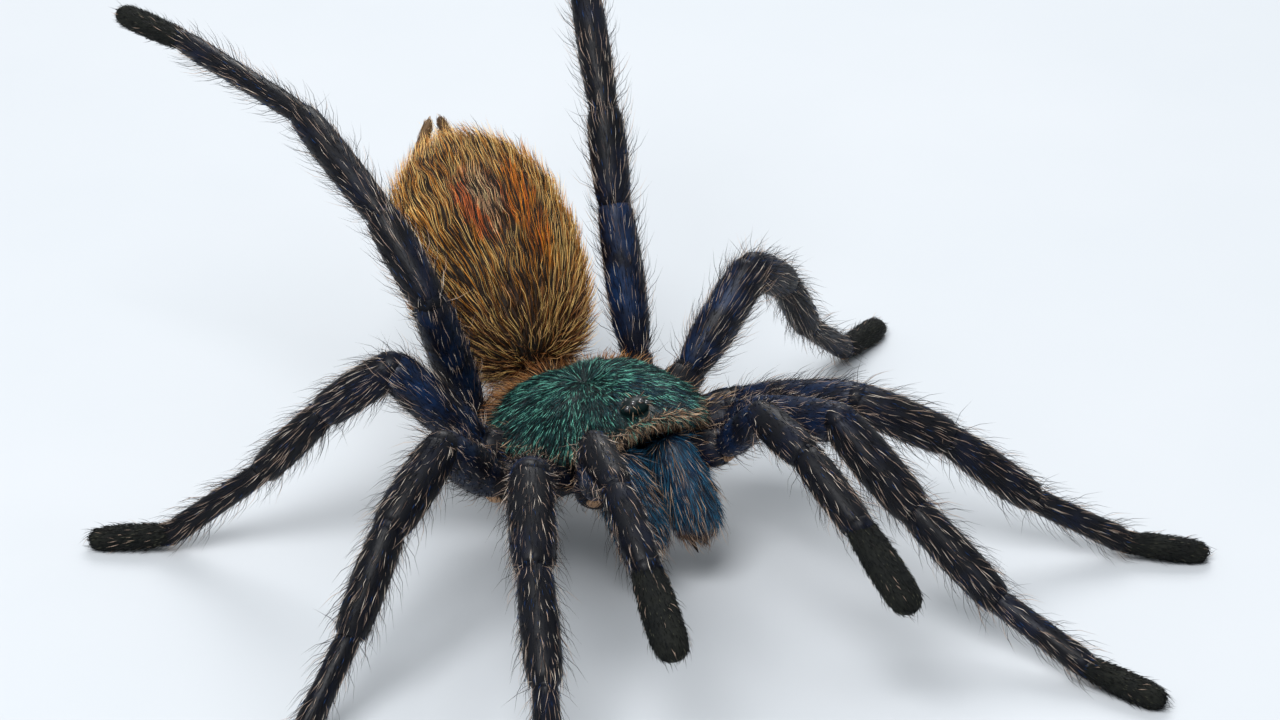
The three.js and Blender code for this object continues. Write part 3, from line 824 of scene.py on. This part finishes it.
def makeEyes():
    mound = bodyBall(eyeMound["middle"], eyeMound["size"])
    skinPiece("eye_mound", [mound], "carapaceShell", "carapace_hair")
    balls = []
    for x, y, z, radius in eyes:
        for side in (-1, 1):
            middle = np.array(eyeMound["middle"]) + np.array([side * x, y, z])
            balls.append(bodyBall(middle, np.full(3, radius)))
    skinPiece("eyes", balls, "eyeGlass", "carapace_hair")
    growHair("eye_tuft", [mound], "pile", "marginHair", "carapace_hair", **eyeTuft)


makeCarapace()
makeEyes()

# Coxae and trochanters under the rim, with the sternum, lip and pedicel between them
underside = {
    "coxaWidth": 2.25, "coxaHeight": 2.1, "coxaOverlap": 0.05, "innerReach": 0.42, "innerHeight": -3.6,
    "sternum": (5.6, 7.4, 2), "sternumPlace": (0, 0, -3.6), "lip": (1.6, 1.3, 1.2), "lipPlace": (0, -8.2, -4),
    "pedicelRadius": 1.9, "pedicelFlatness": 0.8, "pedicelFront": (0, 10, 0.2), "pedicelRear": (0, 13.6, 0.4),
}
coxaForm = [(0, 0.6), (0.08, 0.9), (0.3, 1), (0.6, 1), (0.68, 0.93), (0.71, 0.82), (0.75, 0.92), (0.9, 0.9),
            (0.98, 0.7), (1.01, 0.3)]
pedicelForm = [(0, 0.9), (0.5, 0.8), (1, 1)]
undersideHair = {
    "coxa": {"count": 2600, "length": 2.6, "radius": 0.038, "lift": 0.6, "stray": 0.4, "bend": 0.3,
             "wave": 1.4, "spread": 0.65},
    "coxaPile": {"count": 2200, "length": 1.1, "radius": 0.045, "lift": 0.4, "stray": 0.2, "bend": 0.2},
    "pedicel": {"count": 420, "length": 3.4, "radius": 0.04, "lift": 1.3, "stray": 0.5, "bend": 0.1,
                "wave": 1.4, "segments": 3},
}


def makeUnderside():
    coxae = []
    for limb in limbNames:
        root = limbs[limb][0]["near"]
        inner = ((root / mm - np.array(bodyPose["centre"])) @ bodyTurn) * underside["innerReach"]
        inner[2] = underside["innerHeight"]
        start = fromBody(inner)
        outer = root + underside["coxaOverlap"] * (root - start)
        coxae.append(ringData(ovalRings(start, outer, underside["coxaWidth"] * mm,
                                        underside["coxaHeight"] * mm, coxaForm)))
    skinPiece("coxae", coxae, "legShell", "carapace_hair")
    growHair("coxa_hair", coxae, "pile", "marginHair", "carapace_hair", **undersideHair["coxa"])
    growHair("coxa_pile", coxae, "pile", "legPile", "carapace_hair", **undersideHair["coxaPile"])
    radius = underside["pedicelRadius"] * mm
    front, rear = fromBody(underside["pedicelFront"]), fromBody(underside["pedicelRear"])
    pedicel = ringData(ovalRings(front, rear, radius, underside["pedicelFlatness"] * radius, pedicelForm,
                                 count=8))
    plates = [
        bodyBall(underside["sternumPlace"], underside["sternum"], count=14, sides=28),
        bodyBall(underside["lipPlace"], underside["lip"]),
        pedicel,
    ]
    skinPiece("sternum", plates, "legShell", "carapace_hair")
    growHair("pedicel_hair", [pedicel], "pile", "rustHair", "carapace_hair", **undersideHair["pedicel"])


makeUnderside()
print("cephalothorax made")

# Abdomen: an egg of dark skin under long golden hair, short dark hair, and rusty hair in front
abdomen = {
    "skinShare": 0.88, "lengthShare": 0.94, "rings": 40, "sides": 48, "frontBlunt": 0.72, "frontPole": 0.12,
    "rearPole": 0.16, "pearShape": 0.06, "frontHairRings": 8, "frontHairFade": 1.6,
}
abdomenHair = {
    "long": {"count": 9800, "length": 5, "radius": 0.045, "lift": 0.3, "stray": 0.15, "bend": 0.02,
             "wave": 2.6, "waveScale": 330.0, "segments": 3, "spread": 0.6},
    "short": {"count": 2400, "length": 2.2, "radius": 0.04, "lift": 0.3, "stray": 0.2, "bend": 0.15,
              "wave": 0.8},
    "front": {"count": 1100, "length": 3.6, "radius": 0.04, "lift": 0.9, "stray": 0.5, "bend": 0.2,
              "wave": 1.4, "segments": 3},
}


def eggForm(count=30):
    turn = np.linspace(abdomen["frontPole"], math.pi - abdomen["rearPole"], count)
    blunt = np.where(turn < math.pi / 2, abdomen["frontBlunt"], 1)
    radii = np.sin(turn) ** blunt * (1 - abdomen["pearShape"] * np.cos(turn))
    return list(zip((1 - np.cos(turn)) / 2, radii))


def makeAbdomen():
    points = nodePoints("abdomen")
    start, end, direction = turnedAxis(points, bodyMiddle)
    lateral, dorsal = crossAxes(direction)
    width = abdomen["skinShare"] * np.abs((points - start) @ lateral).max()
    thickness = abdomen["skinShare"] * np.abs((points - start) @ dorsal).max()
    end = start + abdomen["lengthShare"] * (end - start)
    rings = ovalRings(start, end, width, thickness, eggForm(), abdomen["rings"], abdomen["sides"])
    rows = np.arange(abdomen["rings"]) / abdomen["frontHairRings"]
    data = ringData(rings, bristle=np.clip(abdomen["frontHairFade"] - rows, 0, 1)[:, None])
    skinPiece("abdomen_skin", [data], "abdomenSkin", "abdomen_hair", "abdomen")
    growHair("abdomen_long_hair", [data], "pile", "abdomenHair", "abdomen_hair", **abdomenHair["long"])
    growHair("abdomen_short_hair", [data], "pile", "abdomenPile", "abdomen_hair", **abdomenHair["short"])
    growHair("abdomen_front_hair", [data], "bristle", "rustHair", "abdomen_hair", **abdomenHair["front"])


makeAbdomen()

# Spinnerets: a jointed finger each, on a seat that reaches into the abdomen; lengths in mm
spinneret = {"seatDepth": 3.5, "seatReach": 0.8, "fingerDepth": 0.6, "widthShare": 0.95,
             "thicknessShare": 0.9}
fingerForm = [(0, 0.8), (0.06, 0.95), (0.3, 1), (0.36, 0.82), (0.4, 0.95), (0.66, 0.9), (0.71, 0.72),
              (0.75, 0.84), (0.92, 0.66), (1, 0.25)]
seatForm = [(0, 0.7), (0.5, 1), (1, 0.7)]
spinneretHair = {"count": 420, "length": 0.8, "radius": 0.035, "lift": 0.5}


def makeSpinnerets():
    fingers = []
    for side in ("left", "right"):
        name = "spinneret_" + side
        points = nodePoints(name)
        start, end, direction = turnedAxis(points, bodyMiddle)
        width = np.abs((points - start) @ crossAxes(direction)[0]).max()
        finger = ringData(ovalRings(start - spinneret["fingerDepth"] * mm * direction, end,
                                    spinneret["widthShare"] * width, spinneret["thicknessShare"] * width,
                                    fingerForm))
        inward = start + spinneret["seatDepth"] * mm * unit(nodePoints("abdomen").mean(axis=0) - start)
        outward = start + spinneret["seatReach"] * mm * direction
        seat = ringData(ovalRings(inward, outward, width, width, seatForm))
        skinPiece(name + "_skin", [finger, seat], "spinneretSkin", "spinneret", name)
        fingers.append(finger)
    growHair("spinneret_hair", fingers, "pile", "marginHair", "spinneret", **spinneretHair)


makeSpinnerets()
print("abdomen made")

# Chelicerae hang from the front edge, furred blue and with tan ends, each over a curved fang
chelicera = {"widthShare": 0.88, "thicknessShare": 0.86, "lengthShare": 0.88, "fangBow": 0.08}
cheliceraForm = [(0, 0.6), (0.06, 0.88), (0.18, 0.98), (0.35, 1), (0.6, 1), (0.8, 0.94), (0.93, 0.8),
                 (1, 0.4)]
fangForm = [(0, 0.9), (0.1, 1), (0.4, 0.8), (0.7, 0.52), (0.9, 0.26), (1, 0.06)]
cheliceraHair = {
    "fur": {"count": 2700, "length": 2.6, "radius": 0.036, "lift": 0.24, "stray": 0.12, "bend": -0.05,
            "wave": 1.3, "spread": 0.6},
    "bristles": {"count": 280, "length": 3.8, "radius": 0.03, "lift": 0.45, "stray": 0.2, "bend": 0.1,
                 "wave": 1.5, "segments": 3, "spread": 0.6},
}


def makeChelicera(side):
    name = "chelicera_" + side
    points = nodePoints(name)
    start, end, direction = turnedAxis(points, bodyMiddle)
    lateral, dorsal = crossAxes(direction)
    width = chelicera["widthShare"] * np.ptp((points - start) @ lateral) / 2
    thickness = chelicera["thicknessShare"] * np.ptp((points - start) @ dorsal) / 2
    furEnd = start + chelicera["lengthShare"] * (end - start)
    data = ringData(ovalRings(start, furEnd, width, thickness, cheliceraForm, count=26, sides=28))
    skinPiece(name + "_skin", [data], "cheliceraShell", "chelicera_hair", name)
    growHair(name + "_hair", [data], "pile", "cheliceraHair", "chelicera_hair", **cheliceraHair["fur"])
    growHair(name + "_bristles", [data], "pile", "marginHair", "chelicera_hair", **cheliceraHair["bristles"])
    middle = points.mean(0)
    points = nodePoints("fang_" + side)
    start, end, direction = turnedAxis(points, middle)
    width = np.ptp((points - start) @ crossAxes(direction)[0]) / 2
    data = ringData(ovalRings(start, end, width, width, fangForm, count=16, sides=14,
                              bow=chelicera["fangBow"]))
    skinPiece("fang_" + side + "_skin", [data], "fangHorn", "fang", "fang_" + side)


for side in ("left", "right"):
    makeChelicera(side)
print("chelicerae made")

# Floor, light and surroundings
studio = {
    "floor": (0.53, 0.565, 0.6), "floorCloud": (0.595, 0.615, 0.645), "cloudScale": 12.0,
    "floorRoughness": 0.7, "floorReach": 3.0, "world": (0.91, 0.965, 1.0), "worldStrength": 0.5,
}
lights = {
    "keyLight": {"place": (-0.25, -0.2, 0.55), "size": 0.35, "power": 3.8},
    "backLight": {"place": (0.3, 0.45, 0.5), "size": 0.35, "power": 2.8},
}


def makeFloor():
    material, tree, shader = newMaterial("paperWhite")
    pattern = addNode(tree, "ShaderNodeGroup", node_tree=grainGroup, in_Blotch_Scale=studio["cloudScale"])
    colour = mixColours(tree, pattern.outputs["Blotch"], (*studio["floor"], 1), (*studio["floorCloud"], 1))
    setNode(tree, shader, in_Base_Color=colour, in_Roughness=studio["floorRoughness"])
    reach = studio["floorReach"]
    corners = [(-reach, -reach, 0), (reach, -reach, 0), (reach, reach, 0), (-reach, reach, 0)]
    mesh = bpy.data.meshes.new("floor")
    mesh.from_pydata(corners, [], [(0, 1, 2, 3)])
    mesh.materials.append(material)
    floor = bpy.data.objects.new("floor", mesh)
    scene.collection.objects.link(floor)


def makeLight():
    world = bpy.data.worlds.new("softRoom")
    world.use_nodes = True
    sky = world.node_tree.nodes["Background"]
    sky.inputs["Color"].default_value = (*studio["world"], 1)
    sky.inputs["Strength"].default_value = studio["worldStrength"]
    scene.world = world
    scene.view_settings.view_transform = "Standard"
    for name, light in lights.items():
        data = bpy.data.lights.new(name, "AREA")
        data.size = light["size"]
        data.energy = light["power"]
        lamp = bpy.data.objects.new(name, data)
        lamp.location = light["place"]
        lamp.rotation_euler = Vector(light["place"]).to_track_quat("Z", "Y").to_euler()
        scene.collection.objects.link(lamp)


makeFloor()
makeLight()
print("floor and lights made")

hairTriangles = sum(len(piece.data.loop_triangles) for piece in hairPieces)
print("hair triangles", hairTriangles)
